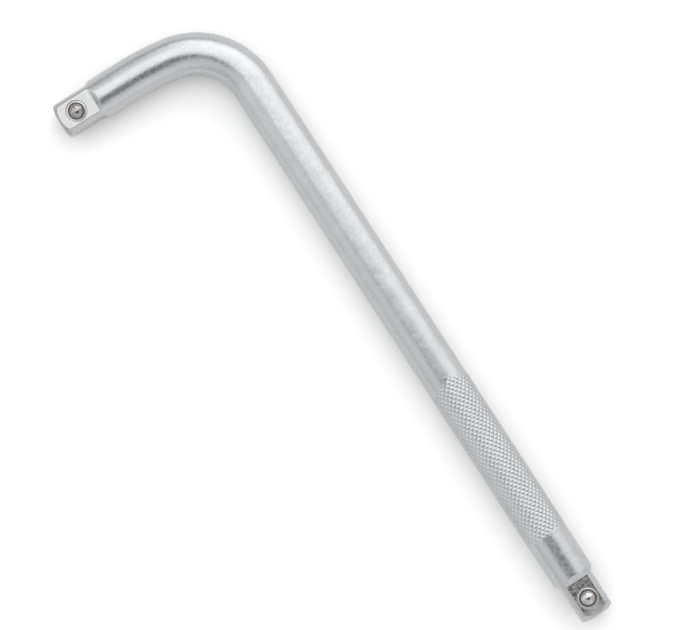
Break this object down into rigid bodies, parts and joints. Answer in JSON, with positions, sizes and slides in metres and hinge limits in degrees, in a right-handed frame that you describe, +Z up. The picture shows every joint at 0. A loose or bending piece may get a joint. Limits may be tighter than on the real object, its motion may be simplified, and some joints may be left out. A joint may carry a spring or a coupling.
{
  "type": "l-handle socket wrench",
  "caption": "Bent round steel handle with a square drive and a sprung detent ball at each end, and a diamond-knurled grip, for turning square-drive sockets.",
  "frame": {"origin": "centre of the short leg's end face, on the axis that the tool turns about when that end drives", "axes": "+Y along the short leg from its drive to the bend, +X from the bend towards the long leg's end, square to the short leg (the long leg lies 0.9 degrees off it, because the bend has sprung open), +Z up out of the plane of the two legs, on the side of the detent balls"},
  "size_m": [0.267, 0.0795, 0.0162],
  "materials": {
    "satin_chrome": "satin chrome plate over blasted steel, brighter on the milled flats",
    "ball_steel": "polished ball bearing steel",
    "spring_steel": "bare drawn spring wire"
  },
  "bodies": {
    "handle": {"handle_bar": "satin_chrome", "short_drive_spring": "spring_steel", "long_drive_spring": "spring_steel"},
    "short_ball": {"short_drive_ball": "ball_steel"},
    "long_ball": {"long_drive_ball": "ball_steel"}
  },
  "joints": [
    {"name": "short_ball_press", "type": "slide", "parent": "handle", "child": "short_ball", "axis": [0, 0, -1], "range_m": [0, 0.00176], "stiffness_N_per_m": 3000, "springref_m": -0.0011, "deforming": ["short_drive_spring"]},
    {"name": "long_ball_press", "type": "slide", "parent": "handle", "child": "long_ball", "axis": [0, 0, -1], "range_m": [0, 0.00176], "stiffness_N_per_m": 3000, "springref_m": -0.0011, "deforming": ["long_drive_spring"]}
  ]
}
